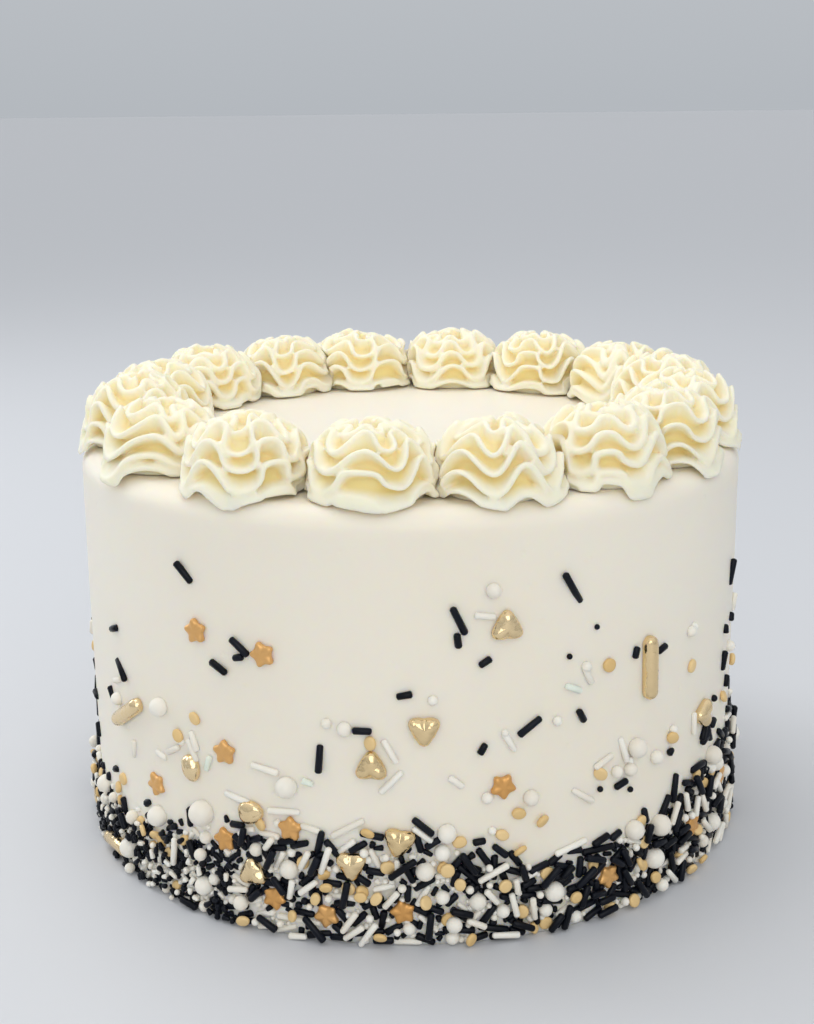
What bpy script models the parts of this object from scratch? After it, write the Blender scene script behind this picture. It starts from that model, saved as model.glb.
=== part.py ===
"""A buttercream celebration cake: a smooth coated round cake, a ring of piped ruffled rosettes
round the rim, and the larger of the sprinkles that cling to its side.

Run with: blender --background --python part.py
Units are metres, +Z is up, and the origin is the middle of the cake's underside.
Azimuths are in degrees, 0 at the front (-Y), growing towards the right (+X).
"""
import math
import random

import bmesh
import bpy
from mathutils import Matrix, Vector

MM = 0.001
FULL_TURN = 2.0 * math.pi

# The coated cake
CAKE_RADIUS = 104.0 * MM
CAKE_HEIGHT = 124.0 * MM
RIM_ROUNDING = 6.0 * MM
RIM_STEPS = 3
COAT_STEPS = 64

# The ring of rosettes, with the uneven spacing of piping by hand. Each is piped a little wider
# round the ring than its sector, so that it presses against its neighbours.
ROSETTE_AZIMUTHS = (-7, 16, 38, 59, 80, 101, 122, 146, 169, 192, 213, 235, 257, 279, 303, 329)
RING_RADIUS = 86.0 * MM
RING_WANDER = 0.8 * MM
ROSETTE_REACH = 17.5 * MM
ROSETTE_HEIGHT = 20.3 * MM
ROSETTE_STRETCH = 1.10
ROSETTE_SPREAD = 0.05
ROSETTE_COLUMNS = 22
PIECE_GAP = 0.3 * MM
ROSETTE_SEED = 31

# The levels of a rosette from its foot to its crown: share of the reach, share of the height,
# waves round the level, wave depth outward and upward, and whether it is an edge or a crease
EDGE = 1.0
CREASE = 0.88
ROSETTE_LEVELS = (
    (0.77, 0.000, 0, 0.0 * MM, 0.0 * MM, CREASE),
    (1.00, 0.110, 7, 1.3 * MM, 1.1 * MM, EDGE),
    (0.80, 0.265, 7, 0.6 * MM, 0.8 * MM, CREASE),
    (0.95, 0.410, 6, 1.4 * MM, 1.2 * MM, EDGE),
    (0.73, 0.550, 6, 0.6 * MM, 0.7 * MM, CREASE),
    (0.84, 0.690, 5, 1.3 * MM, 0.9 * MM, EDGE),
    (0.58, 0.790, 5, 0.5 * MM, 0.4 * MM, CREASE),
    (0.65, 0.930, 4, 1.1 * MM, 0.5 * MM, EDGE),
    (0.36, 0.880, 0, 0.0 * MM, 0.0 * MM, CREASE),
)
TWIST_PER_LEVEL = 0.9
PHASE_WANDER = 0.4
SECOND_WAVE_SHARE = 0.4
SECOND_WAVES_FEWER = 2
# The lowest ruffle's edge bends down by this share of the fall of the coat's rounded rim
RIM_FOLLOW_LEVEL = 1
RIM_FOLLOW_SHARE = 0.6
# A direction that nears the parting plane by less than this can't meet it within the rosette
PARALLEL_LIMIT = 0.05

# The sprinkles, by kind: width across and thickness outward, and the share sunk into the coat
ROD_LENGTH = 19.0 * MM
ROD_WIDTH = 4.7 * MM
JIMMY_WIDTH = 1.9 * MM
HEART_WIDTH = 8.6 * MM
HEART_THICKNESS = 4.6 * MM
HEART_CORNER_SHARE = 0.2
STAR_WIDTH = 7.0 * MM
STAR_THICKNESS = 2.8 * MM
STAR_INNER_SHARE = 0.60
STAR_FACE_SHARE = 0.84
SUNK_SHARE = 0.30
LONG_KINDS = ("rod", "jimmy")

# How finely each kind is faceted
LONG_SIDES = 6
LONG_ROWS = 3
PEARL_SIDES = 6
PEARL_ROWS = 4
HEART_SIDES = 9
HEART_ROWS = 4
STAR_CORNERS = 10

# How the sprinkles are spread
BASE_CLEARANCE = 0.4 * MM
SPRINKLE_SEED = 7
SPRINKLE_SPACING = 1.15
HIDDEN_FROM = 80.0
HIDDEN_TO = 280.0
HEIGHT_VARIATION = 4.0 * MM
PLACING_ATTEMPTS = 30

# Sprinkles that show on the front, read off it by eye: azimuth in degrees, height in
# millimetres, then the turn in degrees, or for a pearl its diameter in millimetres
FRONT_RODS = (
    (39.2, 72.5, 92), (-53, 53, 33), (-61, 5, 8),
)
FRONT_HEARTS = (
    (13.8, 92, 0), (1.6, 64.5, 180), (-6.2, 53.5, 0), (-36.7, 44.7, 15), (-25.5, 36, 100),
    (-25.5, 17.7, 5), (-9.4, 24.5, 182), (-2.2, 32, 170), (-78, 8, 60), (55.3, 49.5, 85),
)
FRONT_STARS = (
    (-34.6, 86.2, 10), (-22.6, 83, 20), (-30, 52.2, 4), (-45.6, 34.8, 30), (13.4, 46.4, 40),
    (-30.6, 25.5, 15), (-19, 33, 0), (-22, 11, 50), (-1.8, 10.5, 12), (31.8, 12.3, 33),
    (53, 15.3, 20), (66, 22, 5), (-13.5, 8, 30),
)
FRONT_PEARLS = (
    (-43.5, 60, 5.5), (-19.3, 45.5, 6.0), (-34.7, 32, 7.4), (-45.3, 25, 6.2), (-55, 8, 6.4),
    (-19.2, 21, 5.5), (4.9, 34, 5.2), (1.6, 23, 5.4), (36.8, 24.2, 5.8), (42.8, 22.2, 6.4),
    (41.5, 12.6, 6.2), (21.7, 12.6, 5.8), (36.9, 49.4, 5.6), (-35, 9, 5.6), (9.5, 13, 5.0),
    (61, 10, 5.6), (60, 33, 5.8), (-66, 21, 5.8),
)
# Rod-shaped jimmies have the turn and then the length in millimetres
FRONT_JIMMIES = (
    (-36.5, 102.5, -47, 7.5), (-55, 65.5, -35, 8.5), (-30.5, 77, -22, 6.5), (-26.6, 84, -42, 7),
    (-7.5, 63.5, -2, 5.4), (-14.2, 54.8, 87, 8.2), (6.8, 94.5, -65, 8.8), (24.2, 100.5, -57, 11),
    (17.6, 62.7, 36, 8), (69, 86.5, 85, 8.5), (65.5, 60, 88, 6.5), (29.7, 21.5, 1, 10.5),
    (-23, 49.5, -9, 8.5), (-3.2, 49, 45, 8.5), (-20, 37.8, 3, 9.5), (24.7, 25, 12, 10.5),
    (-9.8, 34.5, 30, 10.5), (47, 31, 80, 9), (58, 24, 70, 8), (17, 18, 20, 8), (-16, 14, 0, 9),
    (-7, 4, 5, 9), (12, 4, -10, 9), (27, 5, 10, 9), (43, 4, 30, 8), (-44, 18.5, 15, 7),
    (-29, 5, 15, 9), (-84, 41, -60, 8), (62, 22, 60, 8), (-52, 42, 80, 6),
)


def clear_scene():
    for old in list(bpy.data.objects):
        bpy.data.objects.remove(old, do_unlink=True)


def new_collection(name):
    collection = bpy.data.collections.new(name)
    bpy.context.scene.collection.children.link(collection)
    return collection


def material(name, colour, roughness, metallic=0.0):
    made = bpy.data.materials.new(name)
    made.use_nodes = True
    shader = made.node_tree.nodes["Principled BSDF"]
    shader.inputs["Base Color"].default_value = (*colour, 1.0)
    shader.inputs["Roughness"].default_value = roughness
    shader.inputs["Metallic"].default_value = metallic
    return made


def object_from(bm, name, collection, finish=None):
    """Put a finished bmesh into a new object."""
    mesh = bpy.data.meshes.new(name)
    bm.to_mesh(mesh)
    bm.free()
    made = bpy.data.objects.new(name, mesh)
    collection.objects.link(made)
    if finish:
        mesh.materials.append(finish)
    return made


def turned_coat(collection, finish):
    """The coated cake: a profile from the middle of the top down its outer side, turned."""
    profile = [(0.0, CAKE_HEIGHT)]
    for step in range(RIM_STEPS + 1):
        angle = 0.5 * math.pi * step / RIM_STEPS
        radius = CAKE_RADIUS - RIM_ROUNDING + RIM_ROUNDING * math.sin(angle)
        height = CAKE_HEIGHT - RIM_ROUNDING + RIM_ROUNDING * math.cos(angle)
        profile.append((radius, height))
    profile += [(CAKE_RADIUS, 0.0), (0.0, 0.0)]
    bm = bmesh.new()
    verts = [bm.verts.new((radius, 0.0, height)) for radius, height in profile]
    for first, second in zip(verts, verts[1:]):
        bm.edges.new((first, second))
    coat = object_from(bm, "iced_cake", collection, finish)
    screw = coat.modifiers.new("Turn", 'SCREW')
    screw.axis = 'Z'
    screw.steps = COAT_STEPS
    screw.render_steps = COAT_STEPS
    screw.use_merge_vertices = True
    screw.merge_threshold = 0.00005
    screw.use_normal_calculate = True
    return coat


def side_matrix(azimuth, height, stand_off, turn=0.0):
    """A place on the cake's side: X runs to the right, Y up and Z outward, then turned."""
    angle = math.radians(azimuth)
    outward = Vector((math.sin(angle), -math.cos(angle), 0.0))
    right = Vector((math.cos(angle), math.sin(angle), 0.0))
    up = Vector((0.0, 0.0, 1.0))
    axes = Matrix((right, up, outward)).transposed().to_4x4()
    place = outward * (CAKE_RADIUS + stand_off) + up * height
    return Matrix.Translation(place) @ axes @ Matrix.Rotation(math.radians(turn), 4, 'Z')


def capsule(length, width):
    """A rod with pointed-off ends, lying along X."""
    bm = bmesh.new()
    bmesh.ops.create_uvsphere(bm, u_segments=LONG_SIDES, v_segments=LONG_ROWS, radius=0.5 * width)
    stretch = 0.5 * (length - width)
    for vert in bm.verts:
        vert.co.z += math.copysign(stretch, vert.co.z)
    bmesh.ops.rotate(bm, verts=bm.verts, matrix=Matrix.Rotation(0.5 * math.pi, 3, 'Y'))
    return bm


def pearl(diameter):
    bm = bmesh.new()
    bmesh.ops.create_uvsphere(
        bm, u_segments=PEARL_SIDES, v_segments=PEARL_ROWS, radius=0.5 * diameter)
    return bm


def star(width, thickness):
    """A five-pointed star, its face a little smaller than its back."""
    bm = bmesh.new()
    bmesh.ops.create_cone(
        bm, cap_ends=True, segments=STAR_CORNERS, radius1=0.5 * width,
        radius2=0.5 * width * STAR_FACE_SHARE, depth=thickness)
    for vert in bm.verts:
        corner = round(math.atan2(vert.co.y, vert.co.x) / FULL_TURN * STAR_CORNERS)
        if corner % 2:
            vert.co.x *= STAR_INNER_SHARE
            vert.co.y *= STAR_INNER_SHARE
    bmesh.ops.rotate(bm, verts=bm.verts, matrix=Matrix.Rotation(0.5 * math.pi, 3, 'Z'))
    return bm


def heart(width, thickness):
    """A puffed triangle with rounded corners, its point up."""
    bm = bmesh.new()
    bmesh.ops.create_uvsphere(bm, u_segments=HEART_SIDES, v_segments=HEART_ROWS, radius=0.5)
    for vert in bm.verts:
        angle = math.atan2(vert.co.y, vert.co.x)
        reach = 1.0 - HEART_CORNER_SHARE * math.sin(3.0 * angle)
        vert.co.x *= width * reach
        vert.co.y *= width * reach
        vert.co.z *= thickness
    return bm


class Sprinkle:
    """One piece on the side: its kind, place, turn and size."""

    def __init__(self, kind, azimuth, height, turn, length, width):
        self.kind = kind
        self.azimuth = azimuth
        self.turn = turn
        self.length = length
        self.width = width
        lean = abs(math.sin(math.radians(turn))) if kind in LONG_KINDS else 1.0
        half_rise = 0.5 * (width + (length - width) * lean)
        if kind == "heart":
            half_rise *= 1.0 + HEART_CORNER_SHARE
        self.height = max(height, half_rise + BASE_CLEARANCE)

    def distance(self, other):
        """How far apart two pieces lie along the cake's side."""
        swing = (self.azimuth - other.azimuth + 180.0) % 360.0 - 180.0
        return math.hypot(math.radians(swing) * CAKE_RADIUS, self.height - other.height)

    def size(self):
        return 0.5 * (self.length + self.width)


def front_sprinkles():
    """The pieces that show on the front, largest kinds first."""
    for azimuth, height, turn in FRONT_RODS:
        yield Sprinkle("rod", azimuth, height * MM, turn, ROD_LENGTH, ROD_WIDTH)
    for azimuth, height, turn in FRONT_HEARTS:
        yield Sprinkle("heart", azimuth, height * MM, turn, HEART_WIDTH, HEART_WIDTH)
    for azimuth, height, turn in FRONT_STARS:
        yield Sprinkle("star", azimuth, height * MM, turn, STAR_WIDTH, STAR_WIDTH)
    for azimuth, height, diameter in FRONT_PEARLS:
        yield Sprinkle("pearl", azimuth, height * MM, 0.0, diameter * MM, diameter * MM)
    for azimuth, height, turn, length in FRONT_JIMMIES:
        yield Sprinkle("jimmy", azimuth, height * MM, turn, length * MM, JIMMY_WIDTH)


def all_sprinkles():
    """The front's pieces, then as many again round the hidden side by the same habit:
    each takes the kind and about the height of a piece on the front."""
    placed = list(front_sprinkles())
    draw = random.Random(SPRINKLE_SEED)
    for model in list(placed):
        for attempt in range(PLACING_ATTEMPTS):
            azimuth = draw.uniform(HIDDEN_FROM, HIDDEN_TO)
            height = model.height + draw.gauss(0.0, HEIGHT_VARIATION)
            turn = draw.uniform(0.0, 360.0)
            piece = Sprinkle(model.kind, azimuth, height, turn, model.length, model.width)
            clear = all(
                piece.distance(other) > 0.5 * SPRINKLE_SPACING * (piece.size() + other.size())
                for other in placed
            )
            if clear:
                placed.append(piece)
                break
    return placed


def sprinkle_object(piece, index, collection):
    thickness = piece.width
    if piece.kind in LONG_KINDS:
        bm = capsule(piece.length, piece.width)
    elif piece.kind == "pearl":
        bm = pearl(piece.width)
    elif piece.kind == "star":
        thickness = STAR_THICKNESS
        bm = star(piece.width, thickness)
    else:
        thickness = HEART_THICKNESS
        bm = heart(piece.width, thickness)
    stand_off = thickness * (0.5 - SUNK_SHARE)
    bm.transform(side_matrix(piece.azimuth, piece.height, stand_off, piece.turn))
    return object_from(bm, f"sprinkle_{index:03d}", collection)


def fuse_sprinkles(coat, pieces):
    """Join the sprinkles to the coat in one union, and keep the one body that it makes."""
    loose = new_collection("sprinkles_to_fuse")
    for index, piece in enumerate(pieces):
        sprinkle_object(piece, index, loose)
    union = coat.modifiers.new("Fuse", 'BOOLEAN')
    union.operation = 'UNION'
    union.operand_type = 'COLLECTION'
    union.collection = loose
    union.solver = 'EXACT'
    depsgraph = bpy.context.evaluated_depsgraph_get()
    fused = bpy.data.meshes.new_from_object(coat.evaluated_get(depsgraph))
    coat.modifiers.clear()
    coat.data = fused
    for sprinkle in list(loose.objects):
        bpy.data.objects.remove(sprinkle, do_unlink=True)
    bpy.data.collections.remove(loose)
    keep_main_body(fused)


def keep_main_body(mesh):
    """Drop any scrap that isn't connected to the largest body."""
    bm = bmesh.new()
    bm.from_mesh(mesh)
    unseen = set(bm.verts)
    bodies = []
    while unseen:
        start = unseen.pop()
        body = {start}
        edge_of_search = [start]
        while edge_of_search:
            vert = edge_of_search.pop()
            for link in vert.link_edges:
                other = link.other_vert(vert)
                if other in unseen:
                    unseen.discard(other)
                    body.add(other)
                    edge_of_search.append(other)
        bodies.append(body)
    bodies.sort(key=len)
    scraps = [vert for body in bodies[:-1] for vert in body]
    bmesh.ops.delete(bm, geom=scraps, context='VERTS')
    bmesh.ops.triangulate(bm, faces=bm.faces)
    bm.to_mesh(mesh)
    bm.free()


def top_drop(radius):
    """How far the coat's top has fallen away at a radius, over its rounded rim."""
    beyond = max(0.0, radius - (CAKE_RADIUS - RIM_ROUNDING))
    beyond = min(beyond, RIM_ROUNDING)
    return RIM_ROUNDING - math.sqrt(RIM_ROUNDING ** 2 - beyond ** 2)


def room_to_neighbour(ring_radius, angle, half_sector):
    """How far a rosette may reach in a direction before the upright plane, through the cake's
    axis, that parts it from its neighbour. Angle 0 points round the ring, 90 degrees outward."""
    normal_part = math.cos(angle) * math.cos(half_sector) - math.sin(angle) * math.sin(half_sector)
    if normal_part < PARALLEL_LIMIT:
        return math.inf
    return (ring_radius * math.sin(half_sector) - 0.5 * PIECE_GAP) / normal_part


def rosette(index, collection, finish):
    """One piped rosette: ruffled edges and creases in turn from its foot to its crown."""
    draw = random.Random(ROSETTE_SEED + index)
    count = len(ROSETTE_AZIMUTHS)
    azimuth = ROSETTE_AZIMUTHS[index]
    after = (ROSETTE_AZIMUTHS[(index + 1) % count] - azimuth) % 360
    before = (azimuth - ROSETTE_AZIMUTHS[index - 1]) % 360
    ring_radius = RING_RADIUS + draw.uniform(-RING_WANDER, RING_WANDER)
    reach = ROSETTE_REACH * draw.uniform(1.0 - ROSETTE_SPREAD, 1.0 + ROSETTE_SPREAD)
    tall = ROSETTE_HEIGHT * draw.uniform(1.0 - ROSETTE_SPREAD, 1.0 + ROSETTE_SPREAD)
    start = draw.uniform(0.0, FULL_TURN)

    bm = bmesh.new()
    rings = []
    for level, (reach_share, height_share, waves, depth, lift, room_share) in enumerate(ROSETTE_LEVELS):
        phase = start + TWIST_PER_LEVEL * level + draw.uniform(-PHASE_WANDER, PHASE_WANDER)
        second = draw.uniform(0.0, FULL_TURN)
        ring = []
        for column in range(ROSETTE_COLUMNS):
            angle = FULL_TURN * column / ROSETTE_COLUMNS
            wave = math.sin(waves * angle + phase)
            wave += SECOND_WAVE_SHARE * math.sin((waves - SECOND_WAVES_FEWER) * angle + second)
            dip = math.cos(waves * angle + phase + second)
            radius = reach * reach_share + depth * wave
            across = ROSETTE_STRETCH * radius * math.cos(angle)
            outward = radius * math.sin(angle)
            angle = math.atan2(outward, across)
            right_room = room_to_neighbour(ring_radius, angle, math.radians(0.5 * after))
            left_room = room_to_neighbour(ring_radius, math.pi - angle, math.radians(0.5 * before))
            radius = min(math.hypot(across, outward), room_share * right_room, room_share * left_room)
            x = radius * math.cos(angle)
            y = radius * math.sin(angle)
            from_axis = math.hypot(x, ring_radius + y)
            height = PIECE_GAP + tall * height_share + lift * dip
            lowest = PIECE_GAP - top_drop(from_axis)
            if level == RIM_FOLLOW_LEVEL:
                height -= RIM_FOLLOW_SHARE * top_drop(from_axis)
            if level > 0:
                lowest += 0.5 * PIECE_GAP
            ring.append(bm.verts.new((x, -y, max(height, lowest))))
        rings.append(ring)
    crown = bm.verts.new((0.0, 0.0, PIECE_GAP + tall))

    # Y runs towards the front in the mesh, so the columns turn clockwise seen from above
    bm.faces.new(rings[0])
    for lower, upper in zip(rings, rings[1:]):
        for column in range(ROSETTE_COLUMNS):
            following = (column + 1) % ROSETTE_COLUMNS
            bm.faces.new((lower[column], upper[column], upper[following], lower[following]))
    for column in range(ROSETTE_COLUMNS):
        following = (column + 1) % ROSETTE_COLUMNS
        bm.faces.new((rings[-1][column], crown, rings[-1][following]))
    bmesh.ops.triangulate(bm, faces=bm.faces)

    made = object_from(bm, f"rosette_{index + 1:02d}", collection, finish)
    turn = math.radians(azimuth)
    made.location = (ring_radius * math.sin(turn), -ring_radius * math.cos(turn), CAKE_HEIGHT)
    made.rotation_euler = (0.0, 0.0, turn)
    made.data.shade_smooth()
    return made


def build():
    clear_scene()
    parts = new_collection("celebration_cake")
    origin = bpy.data.objects.new("cake_origin", None)
    parts.objects.link(origin)
    coat_finish = material("buttercream_coat", (0.84, 0.80, 0.68), 0.50)
    piped_finish = material("piped_buttercream", (0.90, 0.84, 0.64), 0.45)

    coat = turned_coat(parts, coat_finish)
    fuse_sprinkles(coat, all_sprinkles())
    coat.data.materials.clear()
    coat.data.materials.append(coat_finish)
    coat.parent = origin
    for index in range(len(ROSETTE_AZIMUTHS)):
        rosette(index, parts, piped_finish).parent = origin


build()
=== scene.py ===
"""The looks of the celebration cake: a satin buttercream coat, ruffled rosettes piped round the
rim, and sugar sprinkles that thin out upwards from a dense band at the base."""
import math
import random

import bpy
import numpy as np
from mathutils import Matrix, Vector


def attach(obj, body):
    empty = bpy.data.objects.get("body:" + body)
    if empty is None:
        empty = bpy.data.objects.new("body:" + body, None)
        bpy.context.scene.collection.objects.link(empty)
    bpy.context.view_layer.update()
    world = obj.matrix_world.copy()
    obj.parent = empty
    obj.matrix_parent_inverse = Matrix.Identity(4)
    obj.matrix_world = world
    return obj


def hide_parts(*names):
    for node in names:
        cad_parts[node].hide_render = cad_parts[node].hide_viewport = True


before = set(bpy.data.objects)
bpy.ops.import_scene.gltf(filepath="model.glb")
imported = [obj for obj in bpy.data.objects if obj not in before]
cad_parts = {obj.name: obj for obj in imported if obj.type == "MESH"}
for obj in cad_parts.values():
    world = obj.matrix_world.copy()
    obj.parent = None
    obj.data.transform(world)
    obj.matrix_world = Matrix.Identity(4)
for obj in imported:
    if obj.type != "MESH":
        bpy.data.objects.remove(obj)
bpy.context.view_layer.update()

MM = 0.001
FULL_TURN = 2.0 * math.pi
QUARTER_TURN = 0.5 * math.pi
TINY = 1e-12

# The cake, as in the solids: azimuth 0 is the front (-Y) and grows to the right (+X)
CAKE_RADIUS = 104.0 * MM
CAKE_HEIGHT = 124.0 * MM
RIM_ROUNDING = 6.0 * MM
ROSETTE_AZIMUTHS = (-7, 16, 38, 59, 80, 101, 122, 146, 169, 192, 213, 235, 257, 279, 303, 329)
RING_RADIUS = 86.0 * MM
RING_WANDER = 0.8 * MM
ROSETTE_REACH = 17.5 * MM
ROSETTE_HEIGHT = 20.3 * MM
ROSETTE_SPREAD = 0.05
ROSETTE_SEED = 31

# The camera of the photograph, solved from the cake's outlines; the frame is 814 x 1024
FRAME_HEIGHT_PX = 1024.0
CAMERA_FOCAL_PX = 1513.0
CAMERA_SENSOR_MM = 36.0
CAMERA_DISTANCE = 0.478
CAMERA_HEIGHT = 0.224
CAMERA_PITCH = 14.95
CAMERA_YAW = 0.15
CAMERA_ROLL = -0.61


# Helpers

def linked_object(name, data):
    made = bpy.data.objects.new(name, data)
    bpy.context.scene.collection.objects.link(made)
    return made


def new_object(name, verts, faces):
    mesh = bpy.data.meshes.new(name)
    mesh.from_pydata([tuple(v) for v in verts], [], faces)
    mesh.update()
    return linked_object(name, mesh)


def coordinates(mesh):
    flat = np.empty(len(mesh.vertices) * 3)
    mesh.vertices.foreach_get("co", flat)
    return flat.reshape(-1, 3)


def store(mesh, name, values):
    layer = mesh.attributes.new(name, 'FLOAT', 'POINT')
    layer.data.foreach_set("value", np.asarray(values, np.float32))


def part_of_cake(piece, slot, *nodes):
    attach(piece, "root")
    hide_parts(*nodes)


# Materials

def new_material(name):
    made = bpy.data.materials.new(name)
    made.use_nodes = True
    tree = made.node_tree
    return made, tree, tree.nodes["Principled BSDF"]


def put(node, values):
    for name, value in values.items():
        node.inputs[name].default_value = value


def noise(tree, scale, detail, vector):
    node = tree.nodes.new("ShaderNodeTexNoise")
    put(node, {"Scale": scale, "Detail": detail})
    tree.links.new(vector, node.inputs["Vector"])
    return node.outputs["Fac"]


def object_place(tree):
    return tree.nodes.new("ShaderNodeTexCoord").outputs["Object"]


def mapped(tree, source, low, high):
    """A source with its stretch from low to high spread over 0 to 1."""
    node = tree.nodes.new("ShaderNodeMapRange")
    put(node, {"From Min": low, "From Max": high})
    tree.links.new(source, node.inputs["Value"])
    return node.outputs["Result"]


def blend(tree, factor, first, second, target):
    """Put a colour between two, by a factor, to a target socket."""
    node = tree.nodes.new("ShaderNodeMix")
    node.data_type = 'RGBA'
    tree.links.new(factor, node.inputs["Factor"])
    put(node, {"A": (*first, 1.0), "B": (*second, 1.0)})
    tree.links.new(node.outputs["Result"], target)


def bump(tree, shader, height, distance, strength, before=None):
    node = tree.nodes.new("ShaderNodeBump")
    put(node, {"Strength": strength, "Distance": distance})
    tree.links.new(height, node.inputs["Height"])
    if before:
        tree.links.new(before, node.inputs["Normal"])
    tree.links.new(node.outputs["Normal"], shader.inputs["Normal"])
    return node.outputs["Normal"]


def attribute(tree, name):
    node = tree.nodes.new("ShaderNodeAttribute")
    node.attribute_name = name
    return node.outputs["Fac"]


def buttercream(shader, roughness, depth):
    put(shader, {
        "Roughness": roughness, "Specular IOR Level": 0.4, "Subsurface Weight": 0.7,
        "Subsurface Radius": (1.0, 0.8, 0.45), "Subsurface Scale": depth,
    })


COAT_COLOUR = (0.920, 0.860, 0.745)
COAT_SHADE = (0.905, 0.840, 0.715)
PIPED_COLOUR = (0.968, 0.886, 0.706)
# Painted shade: the deeper golden yellow of the rosettes' creases, in place of the light that
# passes from fold to fold
PIPED_PAINTED_CREVICE_SHADE = (1.000, 0.795, 0.330)


def coat_material():
    """Pale patches, the scraper's strokes and a few small pits."""
    made, tree, shader = new_material("buttercream_coat")
    place = object_place(tree)
    cloud = noise(tree, scale=14.0, detail=3.0, vector=place)
    patches = mapped(tree, cloud, low=0.35, high=0.65)
    blend(tree, patches, COAT_COLOUR, COAT_SHADE, shader.inputs["Base Color"])
    buttercream(shader, roughness=0.46, depth=2.5 * MM)
    streaks = noise(tree, scale=60.0, detail=3.0, vector=place)
    strokes = bump(tree, shader, streaks, distance=0.25 * MM, strength=0.5)
    pits = tree.nodes.new("ShaderNodeTexVoronoi")
    put(pits, {"Scale": 95.0})
    tree.links.new(place, pits.inputs["Vector"])
    holes = mapped(tree, pits.outputs["Distance"], low=0.03, high=0.10)
    bump(tree, shader, holes, distance=0.2 * MM, strength=0.6, before=strokes)
    return made


def piped_material():
    """Painted shade: yellower in the creases, in place of the light that passes from fold to fold.
    """
    made, tree, shader = new_material("piped_buttercream")
    place = object_place(tree)
    painted_crevice_shade = attribute(tree, "painted_crevice_shade")
    blend(tree, painted_crevice_shade, PIPED_COLOUR, PIPED_PAINTED_CREVICE_SHADE, shader.inputs["Base Color"])
    buttercream(shader, roughness=0.42, depth=2.8 * MM)
    grain = noise(tree, scale=260.0, detail=3.0, vector=place)
    bump(tree, shader, grain, distance=0.12 * MM, strength=0.35)
    return made


def sugar_material(name, first, second, roughness, metallic=0.0, grain=600.0, depth=0.05 * MM,
                   gloss=0.5, translucent=0.0):
    """Sugar: each piece takes its own shade between two colours, over a fine grain."""
    made, tree, shader = new_material(name)
    blend(tree, attribute(tree, "shade"), first, second, shader.inputs["Base Color"])
    put(shader, {
        "Roughness": roughness, "Metallic": metallic, "Specular IOR Level": gloss,
        "Subsurface Weight": translucent, "Subsurface Radius": (1.0, 0.9, 0.8),
        "Subsurface Scale": 1.0 * MM,
    })
    crinkles = noise(tree, scale=grain, detail=2.0, vector=object_place(tree))
    bump(tree, shader, crinkles, distance=depth, strength=0.6)
    return made


# The coat

COAT_COLUMNS = 300
COAT_TOP_RINGS = 40
COAT_RIM_RINGS = 10
COAT_SIDE_RINGS = 44
COAT_WAVER = 0.22 * MM
COAT_WAVES = range(2, 9)
COAT_WAVE_LEVELS = 4
# The waver's share on the top, and the share of the radius that it takes to grow there
COAT_TOP_WAVER = 0.6
COAT_CALM_CENTRE = 0.5
COAT_SEED = 5


def round_waves(draw):
    """How far the coat wavers in and out at an angle in radians, round a level of it."""
    parts = [(k, draw.uniform(0.0, FULL_TURN), draw.gauss(0.0, 1.0) / k) for k in COAT_WAVES]
    total = sum(abs(part[2]) for part in parts)

    def wave(angle):
        return 2.0 * COAT_WAVER * sum(a * np.sin(k * angle + p) for k, p, a in parts) / total
    return wave


def build_coat(finish):
    """The smoothed coat, with the slight waver that a scraper leaves."""
    draw = random.Random(COAT_SEED)
    profile = []
    for ring in range(1, COAT_TOP_RINGS + 1):
        share = ring / COAT_TOP_RINGS
        profile.append(((CAKE_RADIUS - RIM_ROUNDING) * share, CAKE_HEIGHT, 0.0, 1.0))
    for ring in range(1, COAT_RIM_RINGS + 1):
        angle = QUARTER_TURN * ring / COAT_RIM_RINGS
        radius = CAKE_RADIUS - RIM_ROUNDING * (1.0 - math.sin(angle))
        height = CAKE_HEIGHT - RIM_ROUNDING * (1.0 - math.cos(angle))
        profile.append((radius, height, math.sin(angle), math.cos(angle)))
    side = CAKE_HEIGHT - RIM_ROUNDING
    for ring in range(1, COAT_SIDE_RINGS + 1):
        profile.append((CAKE_RADIUS, side * (1.0 - ring / COAT_SIDE_RINGS), 1.0, 0.0))
    angles = np.linspace(0.0, FULL_TURN, COAT_COLUMNS, endpoint=False)
    waves = [round_waves(draw) for level in range(COAT_WAVE_LEVELS)]
    verts = [(0.0, 0.0, CAKE_HEIGHT)]
    for radius, height, out, up in profile:
        level = height / CAKE_HEIGHT * (COAT_WAVE_LEVELS - 1)
        low = min(int(level), COAT_WAVE_LEVELS - 2)
        share = level - low
        waver = waves[low](angles) * (1.0 - share) + waves[low + 1](angles) * share
        waver *= min(1.0, radius / (COAT_CALM_CENTRE * CAKE_RADIUS)) if height > 0.0 else 0.0
        reach = radius + out * waver
        rise = np.maximum(height + up * waver * COAT_TOP_WAVER, 0.0)
        verts += list(zip(reach * np.sin(angles), -reach * np.cos(angles), rise))
    rings = len(profile)
    faces = []
    for column in range(COAT_COLUMNS):
        following = (column + 1) % COAT_COLUMNS
        faces.append((0, 1 + column, 1 + following))
        for ring in range(rings - 1):
            start = 1 + ring * COAT_COLUMNS
            below = start + COAT_COLUMNS
            faces.append((start + column, below + column, below + following, start + following))
    base = 1 + (rings - 1) * COAT_COLUMNS
    faces.append(tuple(reversed(range(base, base + COAT_COLUMNS))))
    coat = new_object("cake_coat", verts, faces)
    coat.data.materials.append(finish)
    coat.data.shade_smooth()
    part_of_cake(coat, "buttercream_coat", "iced_cake")


# The rosettes: one thin ruffled ribbon winds up a full dome round a solid core

DOME_POWER = 2.8
DOME_END = 0.001
ARC_STEPS = 400
NOISE_FALL = 0.3
CORE_SHARE = 0.76
CORE_CROWN_SHARE = 0.82
CORE_RINGS = 14
CORE_COLUMNS = 40
CORE_CLEARANCE = 0.05 * MM

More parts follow.
